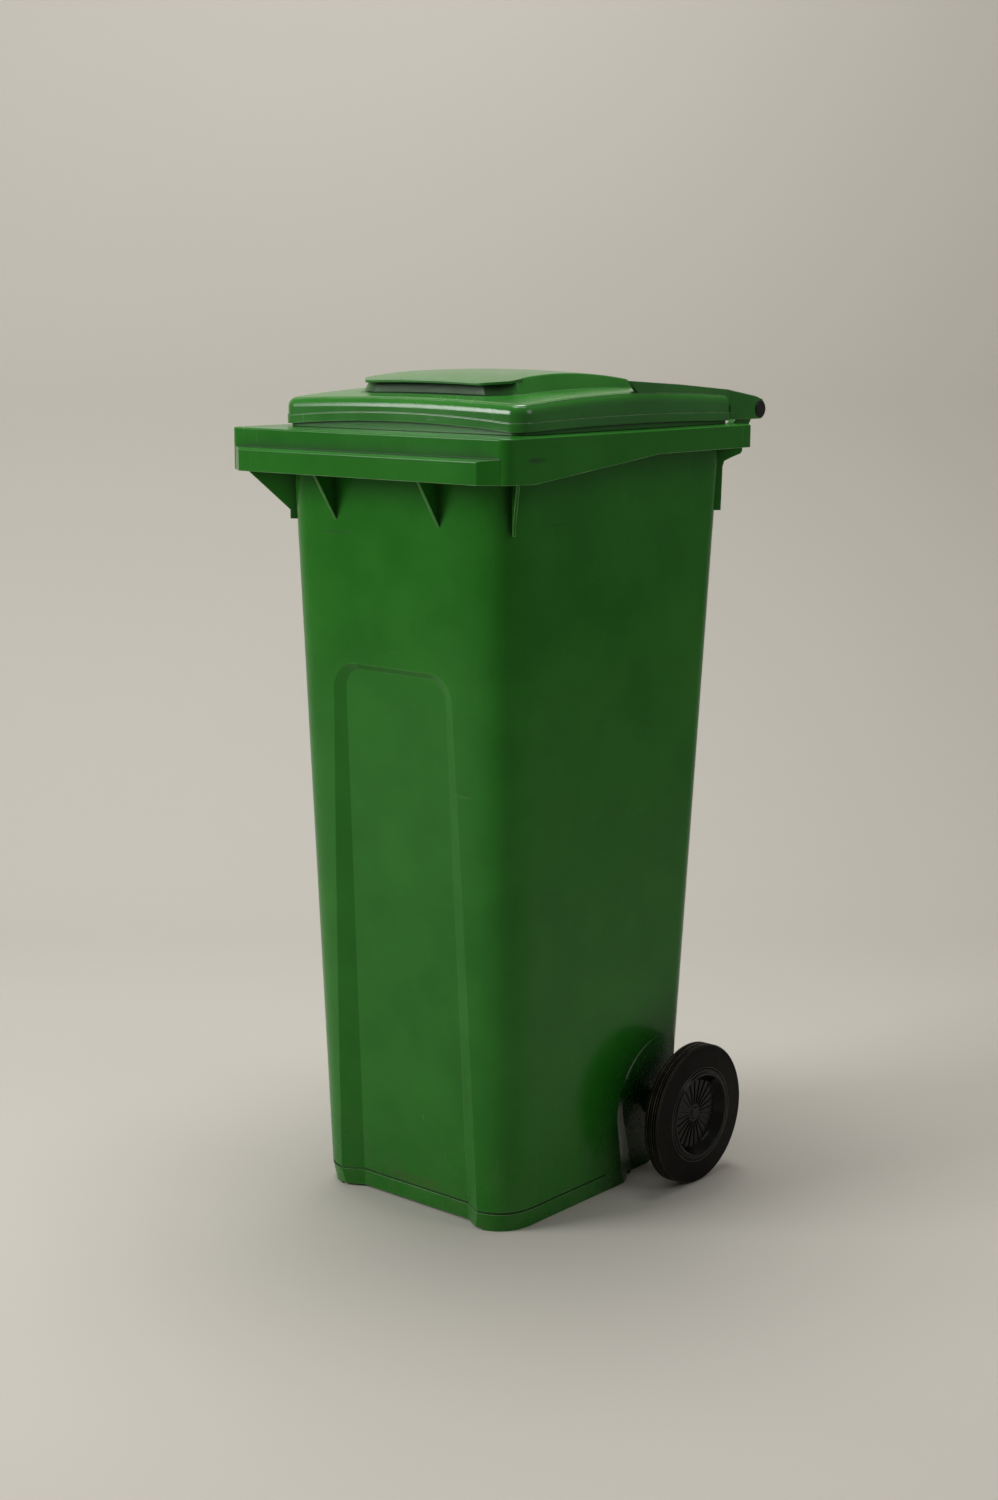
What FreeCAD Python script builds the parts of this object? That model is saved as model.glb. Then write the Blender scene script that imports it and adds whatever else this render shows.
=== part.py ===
import FreeCAD, Part
import math
import os

# Two-wheeled refuse bin of the 140 litre class, in millimetres.
# Front (comb side) faces -Y, wheels and hinge are at +Y, +Z is up.
# The origin lies on the ground, under the centre of the overall box.

V = FreeCAD.Vector
X_AXIS = V(1, 0, 0)
Y_AXIS = V(0, 1, 0)
Z_AXIS = V(0, 0, 1)

# ---- driving dimensions: whole bin ----
overall_depth = 583.5          # front of the comb to the back of the hinge eyes
rim_width = 482.0              # outside of the side skirts
rim_height = 1044.0            # top face of the rim
wheel_diameter = 196.0
axle_ahead = 157.75            # axle line, ahead of the eyes' back
running_clearance = 0.05       # radial play of a shaft in its bore
seat_gap = 0.3                 # gap between faces that rest against each other

# ---- cutting ----
far = 1000.0                   # reach of a cut that passes right through
past = 10.0                    # other cutters run this far past the faces they open
hair = 0.1                     # slack when an edge is picked by its place
seam = 0.0001                  # closest tolerance where the body's faces are sewn
seam_slack = 0.001             # and its widest

# ---- body shell ----
wall = 3.5
body_under_rim = 46.0          # body's side at the rim, in from the outside of the skirt
side_narrowing = 23.5          # each side comes in this much from rim to ground
base_front = 90.0              # front wall at the ground, behind the comb front
top_front = 57.2               # front wall at the rim, behind the comb front
base_back = 115.5              # back wall at the ground, ahead of the eyes' back
top_back = 46.5                # back wall at the rim, ahead of the eyes' back
front_corner_width = 66.5      # run of the front corner along the front, at the ground
front_corner_depth = 65.0      # run of the front corner along the side
corner_fullness_low = 0.67     # how square the front corner is at the ground
corner_fullness_high = 0.79    # and at the rim; 0.55 would be round
back_corner_radius = 34.0
plinth_groove = 25.0           # lower edge of the groove round the foot
plinth_groove_width = 3.5
plinth_groove_depth = 2.0
plinth_groove_end = 122.0      # the groove stops this far ahead of the axle
front_foot_gap = 3.0           # the front edge between the feet is this high up
underside_lift = 8.0           # the floor stands this far off the ground
floor_thickness = 5.0
foot_wall = 10.0
foot_taper = 4.0               # the foot draws in this much from its groove to the ground

# ---- panel pressed into the front wall ----
panel_below_rim = 303.0        # top of the panel below the rim's top
panel_side_top = 68.0          # its side at the top, in from the body's side at the ground
panel_side_foot = 43.0         # and at the ground
panel_depth = 6.5              # depth at its top
panel_foot_depth = 17.5        # and at the ground
panel_slope_top = 2.4          # sideways run of its edge per mm of depth, at the top
panel_slope_foot = 1.9         # and at the ground
panel_slope_over = 1.2         # run of its top edge per mm of depth
panel_corner = 36.0

# ---- wheel pockets and axle bay ----
pocket_gap = 4.0               # arch stands this far off the tyre
pocket_lean = 14.0             # its front edge runs back this far at the ground
pocket_depth = 25.5            # depth of the pocket at the ground; none at its crown
pocket_floor_ahead = 38.0      # front of the pocket floor, ahead of the axle
pocket_floor_above = 52.0      # top of the floor's own arch, above the axle
pocket_floor_arch = 54.0
cheek = 12.0                   # wall between a pocket and the axle bay
bay_ahead = 30.0               # the bay starts this far ahead of the axle
bay_above = 28.0               # its roof, above the axle
heel_rise = 42.0               # the cheeks' heel is cut off up to this height
heel_run = 30.0
sleeve_wall = 8.0              # collar round the axle in each cheek
sleeve_stand = 1.0             # how far the collar stands off the pocket floor

# ---- rim ----
flange = 6.0
skirt = 5.0
band_depth = 55.0              # comb's lower edge below the rim's top
side_skirt_back = 30.3         # depth of the skirt at the back half
side_skirt_front = 56.0
skirt_rise_start = 51.0        # where the side skirt starts to rise, behind the band
skirt_rise_end = 300.0
rim_corner_radius = 16.0
rim_edge_radius = 2.0
rim_side_back = 64.7           # back end of the side skirt, ahead of the eyes' back
rim_back = 44.8                # back edge of the rim, ahead of the eyes' back
rim_back_side = 26.0           # end of the rim's back edge, in from the skirt's outside
mouth_side = 53.0              # side of the mouth, in from the skirt's outside
mouth_front = 92.0             # front of the mouth, behind the comb front
mouth_back = 78.0              # back of the mouth, ahead of the eyes' back
mouth_corner = 24.0
comb_projection = 16.5
comb_side_front = 35.0         # end of the comb's front edge, in from the skirt's outside
comb_side_band = 12.0          # and where the comb leaves the rim
comb_end_lean = 0.4            # share of the wall by which the hollow's front ends come in
comb_root_lean = 1.4           # and its ends at the rim
comb_top = 24.0                # top of the comb ledge below the rim's top
comb_ledge_fall = 2.0
comb_edge_radius = 2.5

# ---- ribs and gussets under the rim ----
rib = 4.0
brace_lap = 4.0                # braces start this far up the skirt's inner face
rib_side = 90.0                # front ribs, off the middle
rib_foot = 116.0               # foot of the ribs below the rim's top
rib_reach = 21.0               # rib edge behind the comb front, at the comb's foot
gusset_offset = 20.5           # front gusset meets the skirt this far behind the corner
gusset_foot = 122.0
gusset_foot_height = 12.0
gusset_toe = 64.0              # front gusset's toe, in from the skirt
gusset_back_foot = 118.0
gusset_back_toe = 18.3         # its foot's edge, in from the rim's back edge
gusset_back_curve = [          # the edge's way up to the rim: reach in, then depth below the rim's top
    (16.6, 58.5),
    (14.3, 51.0),
    (4.1, 46.0),
    (-7.9, 41.0),
    (-10.0, 37.0),
    (-10.0, 30.0),
    (0.0, 14.0),
]

# ---- hinge ----
eye_radius = 13.0
hinge_rise = 18.5              # hinge line above the rim's top
pin_radius = 7.0
pin_head_radius = 11.5
pin_head = 1.5
pin_head_round = 1.0
pin_length = 48.0              # from the ear's outer face inwards
pin_end_gap = 1.0              # between its tip and the end of the bore
pin_chamfer = 1.5
pin_slot = 3.0                 # width of the slot that lets the tip spring in
pin_slot_length = 15.0
arm_beyond_lid = 10.0          # outer face of the arm's eye, out from the lid's side
arm_web_inset = 7.0            # outer face of the arm's web, in from the lid's side
arm_web_width = 6.0
arm_shoulder_run = 8.0         # the arm's top bends down this far ahead of the pin
arm_shoulder_rise = 17.0       # and this far above it
arm_heel_run = 5.5             # next bend, behind the pin
arm_heel_rise = 13.0
arm_end_run = 12.0             # and the last one
arm_end_rise = 6.0
ear_width = 9.5
ear_low = 39.0                 # foot of the ear below the rim's top
ear_step = 13.0                # its foot's back corner, behind the rim
ear_chin = 2.0                 # its back edge starts this far below the eye
ear_neck = 6.0                 # its front edge meets the eye this far below the hinge line
ear_root = 2.0                 # and the rim's top this far behind the rim's back edge
handle_radius = 12.0

# ---- lid ----
lid_side = 31.0                # lid's side, in from the outside of the skirt
lid_front = 79.5               # behind the comb front
lid_back = 58.0                # ahead of the eyes' back
lid_wall = 3.5
lid_lift = 4.0                 # lower edge above the rim
lid_arch = 8.0                 # how far the edge arches up at the front middle
lid_arch_side = 22.0           # the arch ends this far in from the lid's side
lid_side_arch = 4.0
lid_corner_radius = 25.0
lid_back_radius = 16.0
lid_crown = 4000.0             # radius of the roof's crown from side to side
lid_front_rise = 41.5          # roof's middle line above the rim at the front edge
lid_middle_rise = 53.0
lid_back_rise = 44.0
lid_top_radius = 13.0
lid_seat_inset = 6.0           # rib that the lid rests on, in from its edge
lid_seat_width = 3.0
lid_stock = 100.0              # height of the blocks that the lid is cut from
roof_tail = 50.0               # a roof cut runs level this far past its ends
roof_sweep = 2.2               # width of a roof cut, in half widths of the lid
band_height = 11.0
band_step = 1.2
plateau_side = 73.0            # foot of the plateau's side, in from the lid's side
plateau_side_lean = 10.0       # how far its sides lean in
plateau_facet_width = 40.0     # width of the slanting front corners
plateau_sink = 10.0            # its foot outline is taken this far below the roof's middle
plateau_wall_height = 18.0     # height over which the plateau's walls lean
plateau_corner = 14.0          # back corners
plateau_crown = 2000.0
plateau_edge_radius = 3.0
plateau_front_foot = 141.0     # foot of the front wall, behind the comb front
plateau_front_lean = 2.0
plateau_facet = 23.0           # run back of the slanting front corners
plateau_back_foot = 172.0      # ahead of the eyes' back
plateau_back_lean = 8.0
plateau_front_rise = 63.0      # top face above the rim at the grip's edge
plateau_middle_rise = 74.0
plateau_back_rise = 62.0
plateau_middle = 110.0         # where the middle rise is taken, behind the grip's edge
lip_reach = 127.0              # front edge of the grip, behind the comb front
lip_corner_width = 27.0        # width of the grip's slanting ends
lip_side_end = 156.0           # where the grip meets the side walls, behind the comb front
lip_bow = 3.0
lip_thickness = 3.5
arm_run = 279.5                # front end of each arm, ahead of the eyes' back
arm_foot_run = 258.5
arm_front_rise = 61.5
arm_middle_rise = 54.5
arm_back_rise = 45.5
arm_back_run = 5.0             # its top leaves the roof this far inside the lid's back
arm_lift = 1.5                 # underside of the arm above the lid's edge
arm_root = 20.0                # height of its root on the lid's back wall
arm_root_run = 60.0            # its lower edge levels out this far inside the lid's back
arm_bend = 3.0
arm_sink = 11.0                # its lower edge below the roof's middle

# ---- axle and wheels ----
axle_radius = 10.0
axle_cover = 17.0              # hub's outer face beyond the axle's end
axle_chamfer = 1.5
groove_depth = 2.0
tyre_beyond_rim = 1.0          # outer shoulder of the tyre, out from the rim's skirt
tyre_width = 23.0
tyre_wall_height = 35.5        # from the tread in to the hub
tyre_bulge = 2.5               # outer wall swells this far past the shoulder
tyre_bead = 1.5                # size of the small slants at the tyre's inner edges
tyre_lip = 0.5                 # the hub's flange laps the tyre this far past the shoulder
tread_radius = 3.0
groove_width = 3.0
tread_groove_depth = 3.0
tread_ribs = 3
hub_stand = 4.0                # hub's outer face, out from the tyre's shoulder
hub_flange = 2.0               # the hub's flange stands this far proud of the tyre's seat
hub_flange_drop = 1.5          # its face, in from the hub's outer face
hub_flange_round = 1.0
hub_step_width = 2.0           # from the tyre's seat in to the raised ring
hub_dish_width = 14.0          # from the tyre's seat in to the dish
hub_lip = 8.5                  # the dish's rim widens this much towards the outer face
hub_ease = 1.5                 # size of the small slants at the hub's corners
hub_dish_depth = 12.0
hub_web = 4.0
hub_rim_wall = 3.5
hub_boss_radius = 17.0
hub_nose_radius = 9.0
hub_nose = 1.5
hub_sleeve = 33.0              # inner end of the hub's sleeve, in from the tyre
hub_fillet = 3.0               # slant between the web and the boss
hub_cap = 1.0                  # room beyond the axle's end
hub_ribs = 24
hub_rib_height = 1.2
hub_rib_width = 1.4
hub_rib_start = 4.0            # ribs start this far out from the nose
hub_back_ribs = 6
hub_back_rib_width = 3.0
hub_back_rib_inset = 3.0       # they stop this far inside the tyre's inner face
hub_root = 1.0                 # how far a rib runs into what carries it
spacer_wall = 4.0
lock_from_end = 19.0           # lock plunger, out from the end of the hub's sleeve
lock_boss_radius = 9.0
lock_boss_reach = 37.0
lock_radius = 5.0
lock_length = 12.0
lock_chamfer = 1.0
lock_roof = 3.0
spring_wire = 1.0
spring_turns = 5
spring_side_gap = 0.5          # between the coil and its well

# ---- places that follow from the sizes above ----
front_y = -overall_depth / 2
back_y = overall_depth / 2
half_rim = rim_width / 2
wheel_radius = wheel_diameter / 2
axle_z = wheel_radius
axle_back = back_y - axle_ahead
base_half_width = half_rim - body_under_rim - side_narrowing
body_front = front_y + base_front
body_top_front = front_y + top_front
body_back = back_y - base_back
body_top_back = back_y - top_back
front_flat = base_half_width - front_corner_width
panel_top = rim_height - panel_below_rim
panel_half_top = base_half_width - panel_side_top
panel_half_foot = base_half_width - panel_side_foot
pocket_crown = axle_z + wheel_radius + pocket_gap
band_y = front_y + comb_projection
rim_back_y = back_y - rim_back
rim_back_half = half_rim - rim_back_side
mouth_half = half_rim - mouth_side
comb_half_front = half_rim - comb_side_front
comb_half_band = half_rim - comb_side_band
hinge_y = back_y - eye_radius
hinge_z = rim_height + hinge_rise
lid_front_y = front_y + lid_front
lid_back_y = back_y - lid_back
lid_low = rim_height + lid_lift
lid_half_width = half_rim - lid_side
lid_arch_half = lid_half_width - lid_arch_side
plateau_half_foot = lid_half_width - plateau_side
plateau_half_top = plateau_half_foot - plateau_side_lean
plateau_half_front = plateau_half_foot - plateau_facet_width
plateau_foot_z = rim_height + lid_middle_rise - plateau_sink
lip_half_front = plateau_half_top - lip_corner_width
bay_roof = axle_z + bay_above
bay_front = axle_back - bay_ahead
floor_z = underside_lift + floor_thickness
arm_eye_outside = lid_half_width + arm_beyond_lid
arm_web_outside = lid_half_width - arm_web_inset
arm_inside = arm_web_outside - arm_web_width
ear_outside = arm_inside - seat_gap
ear_inside = ear_outside - ear_width
tyre_outside = half_rim + tyre_beyond_rim
tyre_inside = tyre_outside - tyre_width
tyre_seat_radius = wheel_radius - tyre_wall_height
hub_outside = tyre_outside + hub_stand
hub_inside = tyre_inside - hub_sleeve
hub_rim_radius = tyre_seat_radius + hub_flange
hub_step_radius = tyre_seat_radius - hub_step_width
hub_dish_radius = tyre_seat_radius - hub_dish_width
lock_from_middle = hub_inside + lock_from_end
axle_half_length = hub_outside - axle_cover
sleeve_radius = axle_radius + sleeve_wall
below = -2 * past              # cuts at the ground start from here


# ---- small geometry helpers ----
def line(a, b):
    return Part.LineSegment(a, b).toShape()


def polygon(points):
    return Part.makePolygon(points + [points[0]])


def prism(points, direction):
    """Solid swept from a flat polygon."""
    return Part.Face(polygon(points)).extrude(direction)


def box(x0, x1, y0, y1, z0, z1):
    return Part.makeBox(x1 - x0, y1 - y0, z1 - z0, V(x0, y0, z0))


def rod(radius, x0, x1, y, z):
    """Cylinder along X."""
    return Part.makeCylinder(radius, x1 - x0, V(x0, y, z), X_AXIS)


def side_plate(points, x0, x1):
    """Plate lying across X, from (y, z) points."""
    return prism([V(x0, y, z) for y, z in points], V(x1 - x0, 0, 0))


def mirrored(shape):
    return shape.mirror(V(0, 0, 0), X_AXIS)


def both_sides(shape):
    return [shape, mirrored(shape)]


def arc(a, b, c):
    return Part.Arc(a, b, c).toShape()


def rounded_outline(half, y0, y1, front, back, z):
    """Rounded rectangle, symmetric about the middle plane, with front and back corner radii."""
    share = 1 - math.sqrt(0.5)
    f = front * share
    b = back * share
    edges = [
        line(V(front - half, y0, z), V(half - front, y0, z)),
        arc(V(half - front, y0, z), V(half - f, y0 + f, z), V(half, y0 + front, z)),
        line(V(half, y0 + front, z), V(half, y1 - back, z)),
        arc(V(half, y1 - back, z), V(half - b, y1 - b, z), V(half - back, y1, z)),
        line(V(half - back, y1, z), V(back - half, y1, z)),
        arc(V(back - half, y1, z), V(b - half, y1 - b, z), V(-half, y1 - back, z)),
        line(V(-half, y1 - back, z), V(-half, y0 + front, z)),
        arc(V(-half, y0 + front, z), V(f - half, y0 + f, z), V(front - half, y0, z)),
    ]
    return Part.Wire(edges)


def rounded_block(half, y0, y1, front, back, z0, z1):
    face = Part.Face(rounded_outline(half, y0, y1, front, back, z0))
    return face.extrude(V(0, 0, z1 - z0))


def revolve_about_axle(points):
    """Solid of revolution about the axle, from (x, radius) points."""
    profile = [V(x, axle_back, axle_z + r) for x, r in points]
    face = Part.Face(polygon(profile))
    return face.revolve(V(0, axle_back, axle_z), X_AXIS, 360)


# ---- body shell ----
def front_wall_at(z):
    return body_front + (body_top_front - body_front) * z / rim_height


def back_wall_at(z):
    return body_back + (body_top_back - body_back) * z / rim_height


def side_wall_at(z):
    return base_half_width + side_narrowing * z / rim_height


def corner_fullness(z):
    return corner_fullness_low + (corner_fullness_high - corner_fullness_low) * z / rim_height


def body_section(z, inset):
    """Plan outline of the body at height z, drawn in by inset."""
    half = side_wall_at(z) - inset
    y0 = front_wall_at(z) + inset
    y1 = back_wall_at(z) - inset
    turn = front_wall_at(z) + front_corner_depth
    r = back_corner_radius - inset
    k = r * (1 - math.sqrt(0.5))
    lean_x = corner_fullness(z) * (half - front_flat)
    lean_y = corner_fullness(z) * (turn - y0)
    front_right = Part.BezierCurve()
    front_right.setPoles([
        V(front_flat, y0, z),
        V(front_flat + lean_x, y0, z),
        V(half, turn - lean_y, z),
        V(half, turn, z),
    ])
    front_left = Part.BezierCurve()
    front_left.setPoles([
        V(-half, turn, z),
        V(-half, turn - lean_y, z),
        V(-front_flat - lean_x, y0, z),
        V(-front_flat, y0, z),
    ])
    edges = [
        line(V(-front_flat, y0, z), V(front_flat, y0, z)),
        front_right.toShape(),
        line(V(half, turn, z), V(half, y1 - r, z)),
        arc(V(half, y1 - r, z), V(half - k, y1 - k, z), V(half - r, y1, z)),
        line(V(half - r, y1, z), V(r - half, y1, z)),
        arc(V(r - half, y1, z), V(k - half, y1 - k, z), V(-half, y1 - r, z)),
        line(V(-half, y1 - r, z), V(-half, turn, z)),
        front_left.toShape(),
    ]
    return Part.Wire(edges)


def body_block(levels):
    """Solid through body sections, given as (height, inset) pairs."""
    return Part.makeLoft([body_section(z, inset) for z, inset in levels], True, True)


def panel_outline(back_top, back_foot, grow):
    """Outline of the front panel's cutter, in a plane set back so far from the front wall."""
    top = panel_top + grow - panel_slope_over * back_top
    half = panel_half_top + grow - panel_slope_top * back_top
    foot = panel_half_foot + grow - panel_slope_foot * back_foot
    low_half = foot + (foot - half) * -below / panel_top
    r = panel_corner + grow - panel_slope_over * back_top
    k = r * (1 - math.sqrt(0.5))

    def spot(x, z):
        back = back_foot + (back_top - back_foot) * z / panel_top
        return V(x, front_wall_at(z) + back, z)

    edges = [
        line(spot(low_half, below), spot(half, top - r)),
        arc(spot(half, top - r), spot(half - k, top - k), spot(half - r, top)),
        line(spot(half - r, top), spot(r - half, top)),
        arc(spot(r - half, top), spot(k - half, top - k), spot(-half, top - r)),
        line(spot(-half, top - r), spot(-low_half, below)),
        line(spot(-low_half, below), spot(low_half, below)),
    ]
    return Part.Wire(edges)


def front_panel(grow):
    """What the pressed panel takes out of the front wall; grow thickens it for the inside."""
    face = panel_outline(-past, -past, grow)
    floor = panel_outline(panel_depth + grow, panel_foot_depth + grow, grow)
    return Part.makeLoft([face, floor], True, True)


def arch_outline(x, centre_y, centre_z, r):
    """Arch of a wheel pocket in the plane at x, open to the back."""
    h = r * math.sqrt(0.5)
    start = V(x, centre_y - r, centre_z)
    crown = V(x, centre_y, centre_z + r)
    foot = V(x, centre_y - r + pocket_lean, below)
    back_foot = V(x, far / 2, below)
    back_top = V(x, far / 2, centre_z + r)
    edges = [
        line(foot, start),
        arc(start, V(x, centre_y - h, centre_z + h), crown),
        line(crown, back_top),
        line(back_top, back_foot),
        line(back_foot, foot),
    ]
    return Part.Wire(edges)


def pocket_floor_at(z):
    """Distance of the pocket floor from the middle plane; it leans out to meet the side."""
    foot = base_half_width - pocket_depth
    return foot + (side_wall_at(pocket_crown) - foot) * z / pocket_crown


def below_slope(side, y0):
    """Everything inside a pocket floor shifted sideways, from y0 to the back."""
    low = pocket_floor_at(below) + side
    high = pocket_floor_at(pocket_crown + far) + side
    points = [
        V(-low, y0, below),
        V(low, y0, below),
        V(high, y0, pocket_crown + far),
        V(-high, y0, pocket_crown + far),
    ]
    return prism(points, V(0, far, 0))


def wheel_pocket(grow):
    """Dished recess beside the right wheel; grow thickens it for the inside."""
    outside = side_wall_at(pocket_crown)
    mouth = arch_outline(outside, axle_back, axle_z, wheel_radius + pocket_gap + grow)
    floor_y = axle_back - pocket_floor_ahead + pocket_floor_arch
    floor_z_centre = axle_z + pocket_floor_above - pocket_floor_arch
    floor_arch = arch_outline(pocket_floor_at(0) - grow, floor_y, floor_z_centre,
                              pocket_floor_arch + grow)
    dish = Part.makeLoft([mouth, floor_arch], True, True)
    dish = dish.fuse(Part.Face(mouth).extrude(V(far / 4, 0, 0)))
    return dish.cut(below_slope(-grow, -far / 2))


def plinth_groove_ring():
    """Groove round the foot of the front and sides."""
    z0 = plinth_groove
    z1 = plinth_groove + plinth_groove_width
    d = plinth_groove_depth
    ring = body_block([(z0, -past), (z1, -past)])
    core = body_block([(z0 - past, d), (z1 + past, d)])
    core = core.cut(front_panel(d))
    return ring.cut(core).common(box(-far, far, -far, axle_back - plinth_groove_end, 0, far))


def body_outside():
    """Outer form of the body without its rim."""
    block = body_block([(0, foot_taper), (plinth_groove, 0), (rim_height, 0)])
    block = block.cut(front_panel(0))
    for pocket in both_sides(wheel_pocket(0)):
        block = block.cut(pocket)
    return block.cut(plinth_groove_ring())


def body_cavity():
    """Room inside the body, up to the underside of the rim's flange."""
    taper = foot_taper * (1 - floor_z / plinth_groove)
    cavity = body_block([(floor_z, wall + taper), (plinth_groove, wall), (rim_height - flange, wall)])
    cavity = cavity.cut(front_panel(wall))
    cavity = cavity.cut(box(-far, far, bay_front - wall, far, -far, bay_roof + wall))
    for pocket in both_sides(wheel_pocket(wall)):
        cavity = cavity.cut(pocket)
    return cavity


def underside_hollow():
    """Room under the floor, inside the ring that the bin stands on."""
    hollow = body_block([(-past, foot_wall), (underside_lift, foot_wall)])
    hollow = hollow.cut(front_panel(foot_wall))
    hollow = hollow.cut(box(-far, far, bay_front - foot_wall, far, -far, far))
    between_feet = box(-panel_half_foot, panel_half_foot, -far, body_front + front_corner_depth,
                       -far, front_foot_gap)
    return hollow.fuse(between_feet)


def heel_cut():
    """Slope behind the cheeks that lets the bin tilt back."""
    y = back_wall_at(0)
    points = [
        (y - heel_run, 0),
        (y - heel_run, below),
        (y + far / 4, below),
        (y + far / 4, heel_rise + heel_run),
        (y, heel_rise),
    ]
    return side_plate(points, -far / 4, far / 4)


def axle_bay():
    """Open room round the axle between the cheeks."""
    return below_slope(-cheek, bay_front).common(box(-far, far, bay_front, far, below, bay_roof))


def body_shell():
    shell = body_outside().cut(body_cavity())
    shell = shell.cut(underside_hollow())
    return shell.cut(axle_bay()).cut(heel_cut())


# ---- rim ----
def rim_outline(z, inset):
    """Plan outline of the rim's band."""
    half = half_rim - inset
    y0 = band_y + inset
    side_end = back_y - rim_side_back
    y1 = rim_back_y - inset
    r = rim_corner_radius - inset / 2
    k = r * (1 - math.sqrt(0.5))
    back_half = rim_back_half - inset
    edges = [
        line(V(r - half, y0, z), V(half - r, y0, z)),
        arc(V(half - r, y0, z), V(half - k, y0 + k, z), V(half, y0 + r, z)),
        line(V(half, y0 + r, z), V(half, side_end, z)),
        line(V(half, side_end, z), V(back_half, y1, z)),
        line(V(back_half, y1, z), V(-back_half, y1, z)),
        line(V(-back_half, y1, z), V(-half, side_end, z)),
        line(V(-half, side_end, z), V(-half, y0 + r, z)),
        arc(V(-half, y0 + r, z), V(k - half, y0 + k, z), V(r - half, y0, z)),
    ]
    return Part.Wire(edges)


def rim_prism(z0, z1, inset):
    return Part.Face(rim_outline(z0, inset)).extrude(V(0, 0, z1 - z0))


def skirt_trim():
    """What is below the sloping lower edge of the skirt."""
    z_front = rim_height - side_skirt_front
    z_back = rim_height - side_skirt_back
    z_comb = rim_height - band_depth
    points = [
        (front_y - past, z_comb - far / 4),
        (front_y - past, z_comb),
        (band_y + rim_corner_radius, z_comb),
        (band_y + skirt_rise_start, z_front),
        (band_y + skirt_rise_end, z_back),
        (back_y + past, z_back),
        (back_y + past, z_comb - far / 4),
    ]
    return side_plate(points, -rim_width, rim_width)


def comb_outline(inset, deep):
    """Plan of the comb, drawn in by inset and reaching back to deep."""
    half_front = comb_half_front - inset * comb_end_lean
    half_band = comb_half_band - inset * comb_root_lean
    return [
        V(half_band, deep, 0),
        V(half_band, band_y, 0),
        V(half_front, front_y + inset, 0),
        V(-half_front, front_y + inset, 0),
        V(-half_band, band_y, 0),
        V(-half_band, deep, 0),
    ]


def comb():
    """Lifting comb: the lower front band, pushed forward of the rim."""
    z0 = rim_height - band_depth
    z1 = rim_height - comb_top
    root = band_y + skirt / 2
    solid = prism(comb_outline(0, root), V(0, 0, z1 - z0))
    solid.translate(V(0, 0, z0))
    ledge = [
        (front_y, z1 - comb_ledge_fall),
        (root, z1),
        (root, z1 + past),
        (front_y - past, z1 + past),
        (front_y - past, z1 - comb_ledge_fall),
    ]
    solid = solid.cut(side_plate(ledge, -rim_width, rim_width))
    edges = [e for e in solid.Edges if e.BoundBox.YMax < band_y - hair and e.BoundBox.ZMax > z0 + hair]
    return solid.makeFillet(comb_edge_radius, edges)


def comb_hollow():
    z0 = rim_height - band_depth - past
    z1 = rim_height - comb_top - skirt
    solid = prism(comb_outline(skirt, band_y + skirt + past), V(0, 0, z1 - z0))
    solid.translate(V(0, 0, z0))
    return solid


def rim():
    """Flange, skirt and comb; the mouth is opened once all is joined."""
    low = rim_height - band_depth
    block = rim_prism(low - past, rim_height, 0)
    top_edges = [e for e in block.Edges if e.BoundBox.ZMin > rim_height - hair]
    block = block.makeFillet(rim_edge_radius, top_edges)
    channel = rim_prism(low - 2 * past, rim_height - flange, skirt)
    back_wall = body_top_back - wall / 2
    channel = channel.cut(box(-rim_back_half + skirt, rim_back_half - skirt, back_wall, far, 0, far * 2))
    ring = block.cut(channel).cut(skirt_trim())
    return ring.fuse(comb()).cut(comb_hollow())


def mouth():
    """Opening through the top of the bin."""
    return rounded_block(mouth_half, front_y + mouth_front, back_y - mouth_back, mouth_corner,
                         mouth_corner, rim_height - flange - past, rim_height + past)


# ---- ribs, gussets, ears and handle ----
def front_rib(x):
    """Upright rib between the comb and the front wall."""
    z_foot = rim_height - rib_foot
    z_low = rim_height - band_depth
    top = rim_height - flange / 2
    edge = front_y + rib_reach
    points = [
        (body_front, z_foot),
        (front_wall_at(z_foot), z_foot),
        (edge, z_low),
        (front_y + skirt / 2, z_low + brace_lap),
        (front_y + skirt / 2, rim_height - comb_top - skirt / 2),
        (band_y + skirt / 2, rim_height - comb_top),
        (band_y + skirt / 2, top),
        (body_front, top),
    ]
    return side_plate(points, x - rib / 2, x + rib / 2)


def diagonal_plate(points, x, y, sign):
    """Plate at 45 degrees through (x, y); points are (reach inwards, z)."""
    h = math.sqrt(0.5)
    inwards = V(-h, -sign * h, 0)
    across = V(h, -sign * h, 0)
    start = V(x, y, 0) - across * (rib / 2)
    corners = [start + inwards * t + V(0, 0, z) for t, z in points]
    return prism(corners, across * rib)


def front_gusset():
    z0 = rim_height - gusset_foot
    z_low = rim_height - side_skirt_front
    top = rim_height - flange / 2
    deep = 2 * gusset_toe
    points = [
        (deep, z0),
        (gusset_toe, z0),
        (gusset_toe, z0 + gusset_foot_height),
        (skirt / 2, z_low + brace_lap),
        (skirt / 2, top),
        (deep, top),
    ]
    return diagonal_plate(points, half_rim, band_y + gusset_offset, -1)


def back_gusset():
    """Gusset across the back corner; its edge sweeps out below the rim."""
    z0 = rim_height - gusset_back_foot
    top = rim_height - flange / 2
    y = rim_back_y
    x = y + side_wall_at(z0) - back_wall_at(z0)
    points = [(2 * gusset_toe, z0), (gusset_back_toe, z0)]
    points += [(reach, rim_height - drop) for reach, drop in gusset_back_curve]
    points += [(0, top), (2 * gusset_toe, top)]
    return diagonal_plate(points, x, y, 1)


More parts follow.
